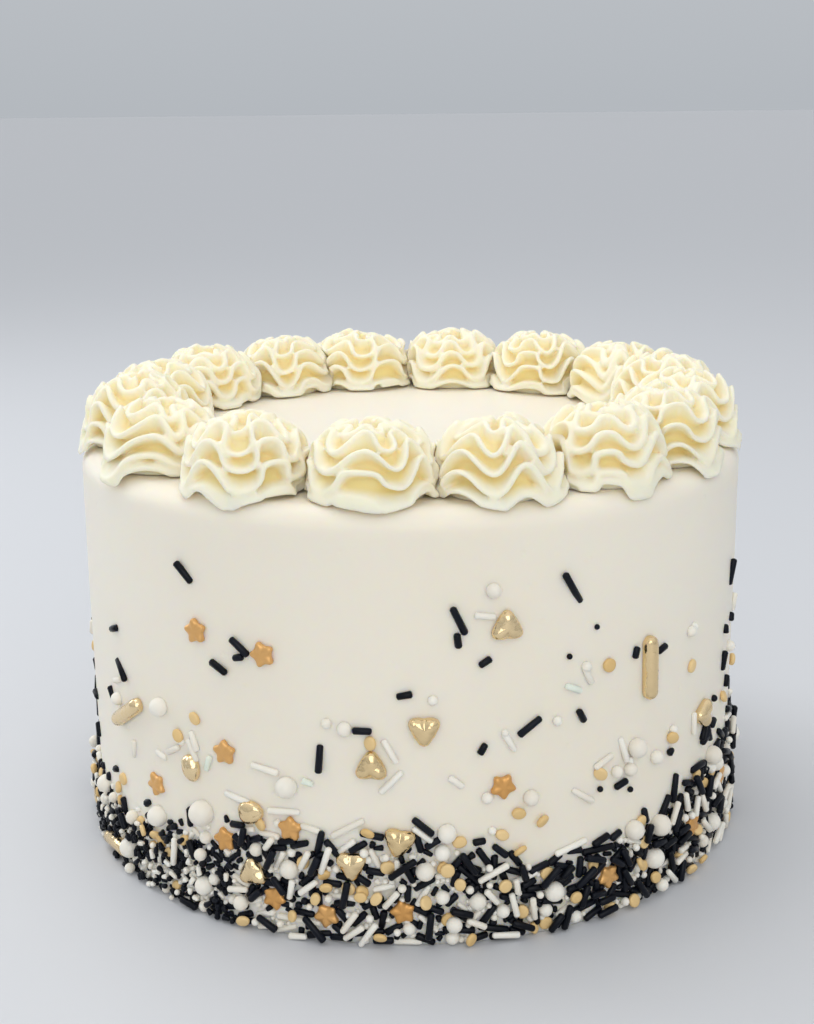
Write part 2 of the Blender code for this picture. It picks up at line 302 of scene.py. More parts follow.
# The ribbon: its spiral along the dome's arc and its section
SAMPLES_PER_TURN = 320
RIBBON_START = 2.0 * MM
RIBBON_END = 2.4 * MM
RIBBON_PITCH = 5.2 * MM
RIBBON_PITCH_TOP = 6.2 * MM
RIBBON_THICKNESS = 1.7 * MM
RIBBON_THICKNESS_VARIATION = 0.18
# The root's thickness, as a share of the edge's
RIBBON_ROOT_SHARE = 1.3
# The line that the section stands square to, as shares of the edge and the root
SQUARE_TO_EDGE = 0.7
SQUARE_TO_ROOT = 0.3
# The corners that round the edge, as shares of half the thickness
EDGE_CORNER_IN = 0.3
EDGE_CORNER_ASIDE = 0.75

# The ruffles: the edge rises and falls along the arc, and curls back to and fro
RUFFLES = 6
RUFFLE_WANDER = 0.5
RUFFLE_RISE = 4.0 * MM
RUFFLE_RISE_AT_FOOT = 0.2
RUFFLE_LIFT_ARC = 9.0 * MM
RUFFLE_RISE_VARIATION = 0.22
RUFFLE_RISE_LIMITS = (0.6, 1.5)
RUFFLE_CURL = 0.75 * MM
RUFFLE_CURL_MEAN = 0.7
RUFFLE_CURL_VARIATION = 0.7
RUFFLE_CURL_MOST = 1.7
RUFFLE_CURL_LEAST_RADIUS = 4.0 * MM
# They fade over this much of a turn at both ends, and inside this share of the reach
RUFFLE_FADE_TURNS = 0.25
RUFFLE_FADE_RADIUS = 0.7
RUFFLE_FADE_LEAST = 0.5
# Waves of noise round and up the dome, for what varies along the ribbon
WANDER_WAVES = (3, 2)
RISE_WAVES = (4, 2)
CURL_WAVES = (4, 3)
BULGE_WAVES = (5, 3)
THICKNESS_WAVES = (5, 0)

# Where the ribbon's edge lies: its nearest to the foot and to the crown, along the arc
EDGE_FROM_FOOT = 0.15 * MM
EDGE_FROM_CROWN = 0.6 * MM
EDGE_BULGE = 0.5 * MM
EDGE_DROOP = 0.5 * MM
EDGE_LEAST_RADIUS = 0.5 * MM
EDGE_LEAST_HEIGHT = 0.6 * RIBBON_THICKNESS
# How far a rise pushes the edge out, by the place along the arc
PUSH_ARC = (0.0, 8.0 * MM)
PUSH_SHARE = (-0.35, 0.18)

# Where its root lies: it is higher than the edge at the foot, and lower at the crown
ROOT_LEAN = 2.0 * MM
ROOT_LEAN_TOP = -2.4 * MM
ROOT_RISE_SHARE = 0.25
ROOT_CURL_SHARE = 0.3
ROOT_FROM_FOOT = 0.5 * MM
ROOT_FROM_CROWN = 0.2 * MM
ROOT_DEPTH = 6.4 * MM
ROOT_CROWN_DEPTH = 2.5 * MM
ROOT_CROWN_DEPTH_GAIN = 0.8
ROOT_LEAST_RADIUS = 0.2 * MM
ROOT_LEAST_HEIGHT = 1.6 * MM

# The merged mesh
ROSETTE_VOXEL = 0.55 * MM
ROSETTE_SOFTENING = 0.5
ROSETTE_SOFTENING_PASSES = 2
ROSETTE_KEPT_SHARE = 0.55
# The painted crevice shade starts and is full at these shares of the dome, and fades at the foot
PAINTED_SHADE_FROM = 0.90
PAINTED_SHADE_TO = 0.74
PAINTED_SHADE_FOOT = 4.0 * MM

# The seat on the rim
SIDEWAYS_STRETCH = 1.14
FRONT_FLARE = 0.10
FLARE_HEIGHT = 9.0 * MM
SEAT_CLEARANCE = 0.1 * MM
# How much of the rounded rim's fall the foot follows
FOOT_DROP = 0.55
# The surface where two rosettes press together swings to and fro by this much
PARTING_SWING = 1.5 * MM
PARTING_WAVE_OUT = 15.0 * MM
PARTING_WAVE_UP = 11.0 * MM
PARTING_SECOND_WAVE = 1.3
PARTING_SOFTNESS = 0.6 * MM
PARTING_GAP = 0.06 * MM
PARTING_SEED = 131


def dome(turn_up, reach, tall):
    """Radius, height and outward normal on the dome; turn_up runs from 0 at the foot to a
    quarter turn at the crown."""
    turn_up = np.clip(turn_up, DOME_END, QUARTER_TURN - DOME_END)
    radius = reach * np.cos(turn_up) ** (2.0 / DOME_POWER)
    height = tall * np.sin(turn_up) ** (2.0 / DOME_POWER)
    slope_out = (radius / reach) ** (DOME_POWER - 1.0) / reach
    slope_up = (height / tall) ** (DOME_POWER - 1.0) / tall
    length = np.hypot(slope_out, slope_up)
    return radius, height, slope_out / length, slope_up / length


def arc_lengths(reach, tall):
    turn_up = np.linspace(0.0, QUARTER_TURN, ARC_STEPS)
    radius, height, _, _ = dome(turn_up, reach, tall)
    steps = np.hypot(np.diff(radius), np.diff(height))
    return turn_up, np.concatenate([[0.0], np.cumsum(steps)])


def dome_noise(draw, waves, span):
    """Smooth noise over the dome, of about unit size, that closes on itself round it."""
    parts = []
    for around in range(1, waves[0] + 1):
        for up in range(waves[1] + 1):
            size = draw.gauss(0.0, 1.0) / (1.0 + NOISE_FALL * (around + up))
            parts.append((around, up, draw.uniform(0.0, FULL_TURN), size))
    total = math.sqrt(sum(part[3] ** 2 for part in parts) / 2.0)

    def value(angle, along):
        return sum(
            size * np.sin(around * angle + up * math.pi * along / span + phase)
            for around, up, phase, size in parts
        ) / total
    return value


def ring_points(radius, angle, height):
    return np.stack([radius * np.cos(angle), radius * np.sin(angle), height], axis=1)


def swept_ribbon(outer, inner, thickness):
    """A closed ribbon between an inner and an outer line, thin and rounded at the outer."""
    along = np.gradient(SQUARE_TO_EDGE * outer + SQUARE_TO_ROOT * inner, axis=0)
    along /= np.linalg.norm(along, axis=1)[:, None]
    across = outer - inner
    across /= np.linalg.norm(across, axis=1)[:, None]
    normal = np.cross(along, across)
    normal /= np.linalg.norm(normal, axis=1)[:, None] + TINY
    half = 0.5 * thickness[:, None]
    root = half * RIBBON_ROOT_SHARE
    section = [
        inner - normal * root,
        outer - across * half - normal * half,
        outer - across * half * EDGE_CORNER_IN - normal * half * EDGE_CORNER_ASIDE,
        outer,
        outer - across * half * EDGE_CORNER_IN + normal * half * EDGE_CORNER_ASIDE,
        outer - across * half + normal * half,
        inner + normal * root,
    ]
    size = len(section)
    count = len(outer)
    verts = np.stack(section, axis=1).reshape(-1, 3)
    index = np.arange(count * size).reshape(count, size)
    faces = []
    for side in range(size):
        after = (side + 1) % size
        quads = [index[:-1, side], index[:-1, after], index[1:, after], index[1:, side]]
        faces += np.stack(quads, axis=1).tolist()
    faces.append(index[0][::-1].tolist())
    faces.append(index[-1].tolist())
    return verts, faces


def ruffled_ribbon(draw, reach, tall):
    """A first turn lies round the foot like a skirt, and the ribbon then climbs. Its outer edge
    wanders up and down the dome and back on itself, in folds that nest in those of the turn
    below, while its root keeps to a more even spiral, deeper in."""
    table_turn, table_arc = arc_lengths(reach, tall)
    span = table_arc[-1]

    def on_dome(place):
        return dome(np.interp(place, table_arc, table_turn), reach, tall)

    climb = span - RIBBON_END - RIBBON_START
    mean_pitch = 0.5 * (RIBBON_PITCH + RIBBON_PITCH_TOP)
    turns = climb / mean_pitch
    count = int((turns + 1.0) * SAMPLES_PER_TURN)
    turn = np.linspace(-1.0, turns, count)
    angle = draw.uniform(0.0, FULL_TURN) + FULL_TURN * turn
    share = np.clip(turn / turns, 0.0, 1.0)
    gain = RIBBON_PITCH * share + 0.5 * (RIBBON_PITCH_TOP - RIBBON_PITCH) * share ** 2
    arc = RIBBON_START + climb * gain / mean_pitch
    wander, bold, curl, bulge, thick = (
        dome_noise(draw, waves, span)(angle, arc)
        for waves in (WANDER_WAVES, RISE_WAVES, CURL_WAVES, BULGE_WAVES, THICKNESS_WAVES)
    )
    phase = RUFFLES * FULL_TURN * turn + RUFFLE_WANDER * wander
    ends = np.clip(np.minimum(turn + 1.0, turns - turn) / RUFFLE_FADE_TURNS, 0.0, 1.0)
    radius = on_dome(arc)[0]
    room = ends * np.clip(radius / (RUFFLE_FADE_RADIUS * reach), RUFFLE_FADE_LEAST, 1.0)
    lift = np.clip(RUFFLE_RISE_AT_FOOT + arc / RUFFLE_LIFT_ARC, 0.0, 1.0)
    boldness = np.clip(1.0 + RUFFLE_RISE_VARIATION * bold, *RUFFLE_RISE_LIMITS)
    rise = RUFFLE_RISE * room * lift * boldness * np.sin(phase)
    curliness = np.clip(RUFFLE_CURL_MEAN + RUFFLE_CURL_VARIATION * curl, 0.0, RUFFLE_CURL_MOST)
    slip = -RUFFLE_CURL * room * curliness * np.sin(2.0 * phase)

    edge_arc = np.clip(arc + rise, EDGE_FROM_FOOT, span - EDGE_FROM_CROWN)
    radius, height, out, up = on_dome(edge_arc)
    push = EDGE_BULGE * bulge + np.interp(arc, PUSH_ARC, PUSH_SHARE) * rise
    edge_radius = np.maximum(radius + out * push, EDGE_LEAST_RADIUS)
    edge_height = np.maximum(height + up * push - EDGE_DROOP * out, EDGE_LEAST_HEIGHT)
    slip = slip / np.maximum(radius, RUFFLE_CURL_LEAST_RADIUS)
    outer = ring_points(edge_radius, angle + slip, edge_height)

    lean = ROOT_LEAN + (ROOT_LEAN_TOP - ROOT_LEAN) * share
    root_arc = arc + lean + ROOT_RISE_SHARE * rise
    root_arc = np.clip(root_arc, ROOT_FROM_FOOT, span - ROOT_FROM_CROWN)
    radius, height, out, up = on_dome(root_arc)
    depth = np.minimum(ROOT_DEPTH, ROOT_CROWN_DEPTH_GAIN * radius + ROOT_CROWN_DEPTH)
    root_radius = np.maximum(radius - out * depth, ROOT_LEAST_RADIUS)
    root_height = np.maximum(height - up * depth, ROOT_LEAST_HEIGHT)
    inner = ring_points(root_radius, angle + ROOT_CURL_SHARE * slip, root_height)
    return swept_ribbon(
        outer, inner, RIBBON_THICKNESS * (1.0 + RIBBON_THICKNESS_VARIATION * thick))


def turned(profile, columns):
    """A closed turned shape from (radius, height) points, foot first and crown last."""
    angles = np.linspace(0.0, FULL_TURN, columns, endpoint=False)
    verts = []
    for radius, height in profile[:-1]:
        verts += list(zip(radius * np.cos(angles), radius * np.sin(angles), [height] * columns))
    verts.append((0.0, 0.0, profile[-1][1]))
    faces = [tuple(reversed(range(columns)))]
    rings = len(profile) - 1
    for column in range(columns):
        following = (column + 1) % columns
        for ring in range(rings - 1):
            low = ring * columns
            high = low + columns
            faces.append((low + column, low + following, high + following, high + column))
        last = (rings - 1) * columns
        faces.append((last + column, last + following, len(verts) - 1))
    return np.array(verts), faces


def rosette_core(reach, tall):
    turn_up = np.linspace(0.0, QUARTER_TURN, CORE_RINGS)
    radius, height, _, _ = dome(turn_up, reach * CORE_SHARE, tall * CORE_CROWN_SHARE)
    profile = list(zip(radius, height))
    profile[0] = (profile[0][0], CORE_CLEARANCE)
    return turned(profile, CORE_COLUMNS)


def top_drop(radius):
    """How far the coat's top has fallen away at a radius, over its rounded rim."""
    beyond = np.clip(radius - (CAKE_RADIUS - RIM_ROUNDING), 0.0, RIM_ROUNDING)
    return RIM_ROUNDING - np.sqrt(RIM_ROUNDING ** 2 - beyond ** 2)


def parting_wave(index):
    """How the surface between a rosette and the one after it swings, in and out and up."""
    draw = random.Random(PARTING_SEED + index)
    first, second = (draw.uniform(0.0, FULL_TURN) for phase in range(2))

    def swing(radius, height):
        out = FULL_TURN * radius / PARTING_WAVE_OUT
        up = FULL_TURN * height / PARTING_WAVE_UP
        waves = np.sin(out + up + first) + np.sin(PARTING_SECOND_WAVE * out - up + second)
        return 0.5 * PARTING_SWING * waves
    return swing


def press_between(verts, before, after):
    """Press the piping against its neighbours on either side. In these verts the cake's axis
    is the origin and the rosette stands towards -Y; before and after are each the angle to
    the upright plane that parts it from a neighbour, and how the parting swings about it."""
    angle = np.arctan2(verts[:, 0], -verts[:, 1])
    radius = np.hypot(verts[:, 0], verts[:, 1])
    for side, (sector, wave) in ((1.0, after), (-1.0, before)):
        gap = radius * np.sin(sector - side * angle) - side * wave(radius, verts[:, 2])
        pressed = 0.5 * (gap + np.sqrt(gap ** 2 + PARTING_SOFTNESS ** 2)) + PARTING_GAP
        moved = pressed - gap
        verts[:, 0] -= side * math.cos(sector) * moved
        verts[:, 1] -= math.sin(sector) * moved
        angle = np.arctan2(verts[:, 0], -verts[:, 1])
        radius = np.hypot(verts[:, 0], verts[:, 1])


def fused(name, parts):
    """Closed parts merged into one mesh by a voxel remesh, then softened and thinned out."""
    verts = []
    faces = []
    for part_verts, part_faces in parts:
        offset = sum(len(v) for v in verts)
        verts.append(part_verts)
        faces += [[corner + offset for corner in face] for face in part_faces]
    piece = new_object(name, np.concatenate(verts), faces)
    remesh = piece.modifiers.new("Fuse", 'REMESH')
    remesh.mode = 'VOXEL'
    remesh.voxel_size = ROSETTE_VOXEL
    smooth = piece.modifiers.new("Soften", 'SMOOTH')
    smooth.factor = ROSETTE_SOFTENING
    smooth.iterations = ROSETTE_SOFTENING_PASSES
    thin = piece.modifiers.new("Thin out", 'DECIMATE')
    thin.ratio = ROSETTE_KEPT_SHARE
    depsgraph = bpy.context.evaluated_depsgraph_get()
    mesh = bpy.data.meshes.new_from_object(piece.evaluated_get(depsgraph))
    piece.modifiers.clear()
    piece.data = mesh
    return piece


def painted_crevice_shade_mask(verts, reach, tall):
    """How deep each vertex lies between the folds, from 0 at their edges to 1, and less near the
    foot: the mask for the painted crevice shade.
    """
    radius = np.hypot(verts[:, 0], verts[:, 1])
    share = ((radius / reach) ** DOME_POWER
             + (np.clip(verts[:, 2], 0.0, None) / tall) ** DOME_POWER) ** (1.0 / DOME_POWER)
    deep = np.clip((PAINTED_SHADE_FROM - share) / (PAINTED_SHADE_FROM - PAINTED_SHADE_TO), 0.0, 1.0)
    return deep * np.clip(verts[:, 2] / PAINTED_SHADE_FOOT, 0.0, 1.0)


def seat_on_rim(verts, ring_radius, before, after):
    """Stretch a rosette sideways, flare its foot forwards, press it between its neighbours,
    and let the foot follow the coat down over the rim."""
    verts[:, 0] *= SIDEWAYS_STRETCH
    low = np.clip(1.0 - verts[:, 2] / FLARE_HEIGHT, 0.0, 1.0)
    verts[:, 1] *= np.where(verts[:, 1] < 0.0, 1.0 + FRONT_FLARE * low, 1.0)
    verts[:, 1] -= ring_radius
    press_between(verts, before, after)
    drop = top_drop(np.hypot(verts[:, 0], verts[:, 1]))
    verts[:, 2] -= FOOT_DROP * drop * low
    verts[:, 2] = CAKE_HEIGHT + np.maximum(verts[:, 2], SEAT_CLEARANCE - drop)


def build_rosette(index, finish):
    draw = random.Random(ROSETTE_SEED + index)
    count = len(ROSETTE_AZIMUTHS)
    azimuth = ROSETTE_AZIMUTHS[index]
    after = (ROSETTE_AZIMUTHS[(index + 1) % count] - azimuth) % 360
    before = (azimuth - ROSETTE_AZIMUTHS[index - 1]) % 360
    ring_radius = RING_RADIUS + draw.uniform(-RING_WANDER, RING_WANDER)
    reach = ROSETTE_REACH * draw.uniform(1.0 - ROSETTE_SPREAD, 1.0 + ROSETTE_SPREAD)
    tall = ROSETTE_HEIGHT * draw.uniform(1.0 - ROSETTE_SPREAD, 1.0 + ROSETTE_SPREAD)
    parts = (rosette_core(reach, tall), ruffled_ribbon(draw, reach, tall))
    rosette = fused(f"ruffled_rosette_{index + 1:02d}", parts)
    mesh = rosette.data
    verts = coordinates(mesh)
    # The painted crevice shade's mask, kept on each vertex
    store(mesh, "painted_crevice_shade", painted_crevice_shade_mask(verts, reach, tall))
    seat_on_rim(
        verts, ring_radius, (math.radians(0.5 * before), parting_wave((index - 1) % count)),
        (math.radians(0.5 * after), parting_wave(index)))
    mesh.vertices.foreach_set("co", verts.reshape(-1))
    mesh.transform(Matrix.Rotation(math.radians(azimuth), 4, 'Z'))
    mesh.materials.clear()
    mesh.materials.append(finish)
    mesh.shade_smooth()
    part_of_cake(rosette, "piped_buttercream", f"rosette_{index + 1:02d}")


# The sprinkles that show on the front, read off it: azimuth in degrees, height in
# millimetres, then the turn in degrees, or a pearl's or bead's diameter in millimetres

FRONT_RODS = (
    (39.2, 72.5, 92), (-53, 53, 33), (-61, 5, 8),
)
FRONT_HEARTS = (
    (13.8, 92, 0), (1.6, 64.5, 180), (-6.2, 53.5, 0), (-36.7, 44.7, 15), (-25.5, 36, 100),
    (-25.5, 17.7, 5), (-9.4, 24.5, 182), (-2.2, 32, 170), (-78, 8, 60), (55.3, 49.5, 85),
)
# Hearts that lie on an edge, by azimuth and height, with the share of their width that shows
NARROW_HEARTS = {(-36.7, 44.7): 0.68, (-25.5, 36.0): 0.80}
FRONT_STARS = (
    (-34.6, 86.2, 10), (-22.6, 83, 20), (-30, 52.2, 4), (-45.6, 34.8, 30), (13.4, 46.4, 40),
    (-30.6, 25.5, 15), (-19, 33, 0), (-22, 11, 50), (-1.8, 10.5, 12), (31.8, 12.3, 33),
    (53, 15.3, 20), (66, 22, 5), (-13.5, 8, 30),
)
FRONT_PEARLS = (
    (-43.5, 60, 5.5), (-19.3, 45.5, 6.0), (-34.7, 32, 7.4), (-45.3, 25, 6.2), (-55, 8, 6.4),
    (-19.2, 21, 5.5), (4.9, 34, 5.2), (1.6, 23, 5.4), (36.8, 24.2, 5.8), (42.8, 22.2, 6.4),
    (41.5, 12.6, 6.2), (21.7, 12.6, 5.8), (36.9, 49.4, 5.6), (-35, 9, 5.6), (9.5, 13, 5.0),
    (61, 10, 5.6), (60, 33, 5.8), (-66, 21, 5.8),
)
FRONT_SMALL_PEARLS = (
    (-12.8, 65.2, 2.8), (-10.1, 64, 4.0), (11.8, 102.3, 4.1), (2.9, 72.5, 2.7), (22, 63.3, 2.6),
    (41.6, 44, 4.0), (35.7, 43.5, 4.0), (-24.8, 25, 4.0), (4.2, 28.3, 4.5), (20.4, 7.2, 4.0),
    (25.5, 3.2, 4.0), (11, 43.5, 3.2), (13.7, 61.8, 2.0), (11.8, 33.5, 2.2), (17.8, 42, 4.4),
    (26.8, 77.5, 2.8), (51, 79, 2.6), (-57, 55, 4.0), (33, 44, 3.4), (-67, 15, 4.2), (70, 62, 3.5),
    (62, 29, 5.0), (-53.5, 19, 4.5), (50, 78, 3.2), (46, 50, 2.6),
)
# Rod-shaped jimmies have the turn and then the length in millimetres
FRONT_BLACK = (
    (-36.5, 102.5, -47, 7.5), (-55, 65.5, -35, 8.5), (-30.5, 77, -22, 6.5), (-26.6, 84, -42, 7),
    (-7.5, 63.5, -2, 5.4), (-14.2, 54.8, 87, 8.2), (6.8, 94.5, -65, 8.8), (24.2, 100.5, -57, 11),
    (17.6, 62.7, 36, 8), (69, 86.5, 85, 8.5), (65.5, 60, 88, 6.5), (29.7, 21.5, 1, 10.5),
    (-57, 77, 20, 5), (-26.8, 81, 15, 3.4), (-60, 55, -60, 4.5), (-1.2, 74, 12, 4.5),
    (6.6, 89, -82, 4.4), (10.6, 82.6, 28, 4), (26.2, 63.5, -60, 4.6), (10.3, 57.8, 60, 3.6),
    (9.8, 30.6, 8, 3.8), (36.3, 78, 75, 3.6), (42.2, 76.6, 15, 4.4), (34, 39.7, 18, 4.8),
    (1.4, 36, -42, 7.5), (2.8, 31, 30, 5), (-17.5, 28.5, 22, 6), (-12.5, 28.5, -50, 6),
    (-21.3, 26.5, 10, 6), (-23, 24, -50, 6), (-6.3, 33, -5, 7), (19.3, 20.5, 15, 6.5),
    (22, 22, 30, 5), (25.3, 23.3, -5, 5), (47, 31, 80, 9), (58, 24, 70, 8), (39.5, 27, -75, 5),
    (71, 71, 60, 3), (66, 70, 80, 3), (68.5, 51.5, 75, 4), (60.5, 43, 20, 4), (57.5, 41, 60, 5),
    (45.5, 43.5, 20, 2.6), (-7, 4, 5, 9), (12, 4, -10, 9), (27, 5, 10, 9), (43, 4, 30, 8),
    (-44, 18.5, 15, 7), (-29, 5, 15, 9), (-85, 48, 80, 5), (-84, 41, -60, 8), (-73, 46, -10, 5),
    (-85, 33, 90, 7), (-73, 34, -60, 5), (-80, 21, 60, 4), (-86, 9, 40, 5), (-65, 24, 80, 2.8),
    (-60, 30, 15, 3), (-74, 21, 90, 4), (-68, 21, 30, 4), (-57, 20, -80, 6), (-48.5, 27, 30, 3),
    (-67, 8, 50, 7), (-64, 12, -30, 8), (44.5, 27, 55, 7), (57, 31, -80, 5), (56.5, 43, 55, 6),
    (58.5, 41, -65, 6), (57, 40, 5, 5), (69, 33, 45, 5), (69.5, 33, -45, 5), (62, 22, 60, 8),
    (66, 27, 70, 7), (70, 18, 55, 8), (51, 22, -70, 8), (49, 14, 60, 9), (-86, 63, 60, 2.4),
)
FRONT_WHITE = (
    (-23, 49.5, -9, 8.5), (10.6, 95.3, -8, 6), (-3.4, 58, -60, 7.5), (-3.3, 49, 45, 8.5),
    (-36, 53, -65, 6), (-52, 42, 80, 6), (-44, 45, -10, 5), (14.4, 59.2, -60, 6.5),
    (27.2, 74.5, -62, 5.5), (26.7, 39.5, -35, 8), (-20, 37.8, 3, 9.5), (24.7, 25, 12, 10.5),
    (-9.8, 34.5, 30, 10.5), (-5.9, 26.5, -66, 6.5), (1.3, 33.5, -40, 7), (-10.8, 14, 0, 9),
    (-18, 6, -4, 13), (-15.8, 34, -10, 6), (34.5, 50, -75, 8), (30.5, 48, 22, 7),
    (36, 44.5, -80, 5), (6.3, 48.7, -38, 5), (-57, 61, 20, 5), (17, 18, 20, 8), (-82, 63, 80, 5),
    (-86, 8, 50, 6), (76, 73, 85, 6), (52.5, 48, 88, 7), (-39.5, 52.5, -40, 5), (-41, 48, 30, 7),
    (-36.5, 50, -60, 7), (-28, 39, -8, 9),
)
FRONT_MINT = (
    (24.7, 72, -25, 5.5), (-16, 47.5, -20, 3.4), (-33.5, 47.5, 70, 5),
)
FRONT_CONFETTI = (
    (-35.7, 60), (-39.4, 53.2), (31, 76.4), (50.8, 67), (-86, 54), (80, 51), (-6.3, 60.4),
    (-88, 14), (-59.5, 24.5), (-46.5, 18), (61, 27), (57, 26), (-58, 15),
    (66, 48), (45.5, 47.9), (29.6, 45), (15.9, 37.8), (19.7, 34.5), (13.3, 32), (16.1, 26.8),
    (6.8, 31), (38.6, 25.7), (-6.9, 34), (-17, 23.5), (-39.2, 21), (-45.2, 16.8), (5, 8),
    (16.5, 8), (20.5, 3), (-57, 29), (-24, 33), (28.8, 17.5), (-10, 17), (-4, 24),
)
FRONT_BLACK_BEADS = (
    (23.9, 81.2, 1.7), (29.9, 40, 1.8), (36, 37, 1.8), (28.6, 88.2, 1.6), (-18, 13.5, 2.2),
    (-17, 11.5, 2.2), (-19, 11.6, 2.2), (-18, 10, 2.2), (-17.4, 14.2, 2.0), (60.5, 51, 2.2),
)


# The sprinkles' shapes, as unit templates with their faces

def lathe_faces(columns, rings):
    """The faces of a closed turned shape: a point, its rings and another point."""
    faces = []
    last = 1 + (rings - 1) * columns
    for column in range(columns):
        after = (column + 1) % columns
        faces.append((0, 1 + after, 1 + column))
        for ring in range(rings - 1):
            low = 1 + ring * columns
            high = low + columns
            faces.append((low + column, low + after, high + after, high + column))
        faces.append((last + column, last + after, last + columns))
    return faces


def tube_template(sides, caps):
    """A rod along X with rounded ends. Each vertex is (end sign, share of the end's rounding,
    y, z), so that a length and a width can be put to it. caps are shares of a quarter turn."""
    rings = [(-1.0, cap) for cap in caps] + [(1.0, cap) for cap in reversed(caps)]
    verts = [(-1.0, -1.0, 0.0, 0.0)]
    for sign, cap in rings:
        size = math.sin(QUARTER_TURN * cap)
        rounding = sign * math.cos(QUARTER_TURN * cap)
        for side in range(sides):
            around = FULL_TURN * side / sides
            verts.append((sign, rounding, size * math.cos(around), size * math.sin(around)))
    verts.append((1.0, 1.0, 0.0, 0.0))
    return np.array(verts), lathe_faces(sides, len(rings))


def rod_verts(template, length, width, bend=0.0, taper=0.0, end_rounding=1.0):
    """A rod whose ends are domes, or flatter where end_rounding is under 1."""
    verts = template[0]
    half = 0.5 * width
    end = half * end_rounding
    x = verts[:, 0] * (0.5 * length - end) + verts[:, 1] * end
    along = x / (0.5 * length)
    size = half * (1.0 + taper * along)
    return np.stack([x, verts[:, 2] * size + bend * along ** 2, verts[:, 3] * size], axis=1)


def round_template(columns, rows):
    """A ball of unit radius as rings, with its poles along Z."""
    verts = [(0.0, 0.0, -1.0)]
    for row in range(1, rows):
        radius = math.sin(math.pi * row / rows)
        height = -math.cos(math.pi * row / rows)
        for column in range(columns):
            around = FULL_TURN * column / columns
            verts.append((radius * math.cos(around), radius * math.sin(around), height))
    verts.append((0.0, 0.0, 1.0))
    return np.array(verts), lathe_faces(columns, rows - 1)


JIMMY = tube_template(sides=8, caps=(0.5, 1.0))
ROD = tube_template(sides=20, caps=(0.25, 0.5, 0.75, 1.0))
PLUMP = round_template(columns=40, rows=12)
DISC = round_template(columns=16, rows=7)
BALL = round_template(columns=24, rows=13)
BEAD = round_template(columns=12, rows=8)

# Each pressed shape's outline: its mean reach and the sizes of its first two waves
STAR_OUTLINE = (0.85, 0.13, 0.02)
STAR_SPAN = 1.06
STAR_RIDGE = 0.20
HEART_OUTLINE = (0.92, 0.15, 0.03)
HEART_HOLLOW = 0.2
# The heart's cleft, and the crease that runs in from it
HEART_CLEFT = 0.07
HEART_CLEFT_ANGLE = 0.30
HEART_CREASE = 0.35
HEART_CREASE_WIDTH = 0.17
HEART_CREASE_START = 0.15
HEART_CREASE_GAIN = 1.5
BEAN_CREASE = 0.3
BEAN_CREASE_WIDTH = 0.25
BEAN_LENGTH = 0.94
BEAN_TAPER = 0.15


def outline(angle, points, mean, first, second):
    """How far a shape with some points reaches at an angle, as a share of half its width."""
    return mean + first * np.cos(points * angle) + second * np.cos(2.0 * points * angle)


def polar(template):
    """The angle from +Y and the radius of each vertex."""
    x, y = template[0][:, 0], template[0][:, 1]
    return np.arctan2(x, y), np.hypot(x, y)


def pressed(template, reach, spread, width, fullness, thickness):
    """A ball pressed to an outline. The larger spread, the closer its rings lie to the
    outline, and the smaller fullness, the flatter its faces."""
    verts = template[0].copy()
    radius = np.maximum(polar(template)[1], TINY)
    verts[:, :2] *= (reach * radius ** -spread)[:, None]
    verts[:, :2] *= 0.5 * width
    verts[:, 2] = np.sign(verts[:, 2]) * np.abs(verts[:, 2]) ** fullness * 0.5 * thickness
    return verts


def confetti_verts(width, thickness):
    """A flat disc with a rounded edge."""
    return pressed(DISC, reach=1.0, spread=0.45, width=width, fullness=0.6, thickness=thickness)


def star_verts(width, thickness):
    """A plump five-pointed star, with ridges that run out to its points."""
    angle, radius = polar(PLUMP)
    points = outline(angle, 5, *STAR_OUTLINE)
    verts = pressed(PLUMP, points, 0.35, STAR_SPAN * width, 0.7, thickness)
    verts[:, 2] *= (1.0 - STAR_RIDGE) + STAR_RIDGE * np.cos(5.0 * angle) * radius
    return verts


def heart_verts(width, thickness):
    """A puffed heart, near to a triangle: its point is at +Y, and a crease runs in from
    between its two lobes."""
    angle, radius = polar(PLUMP)
    x, y = PLUMP[0][:, 0], PLUMP[0][:, 1]
    cleft = np.exp(-((math.pi - np.abs(angle)) / HEART_CLEFT_ANGLE) ** 2)
    corners = outline(angle, 3, *HEART_OUTLINE) - HEART_CLEFT * cleft
    crease = np.exp(-(x / HEART_CREASE_WIDTH) ** 2)
    crease *= np.clip(HEART_CREASE_START - HEART_CREASE_GAIN * y, 0.0, 1.0)
    hollow = (0.5 - 0.5 * np.cos(3.0 * angle)) * radius
    verts = pressed(PLUMP, corners, 0.2, width, 0.85, thickness)
    verts[:, 2] *= (1.0 - HEART_HOLLOW * hollow) * (1.0 - HEART_CREASE * crease)
    return verts


def bean_verts(width, thickness, narrow):
    """A heart that lies on its edge: a creased oval with its length along Y."""
    verts = PLUMP[0].copy()
    crease = np.exp(-(verts[:, 0] / BEAN_CREASE_WIDTH) ** 2) * np.abs(verts[:, 1])
    verts[:, 2] *= 0.5 * thickness * (1.0 - BEAN_CREASE * crease)
    verts[:, 0] *= 0.5 * width * narrow * (1.0 + BEAN_TAPER * verts[:, 1])
    verts[:, 1] *= 0.5 * width * BEAN_LENGTH
    return verts


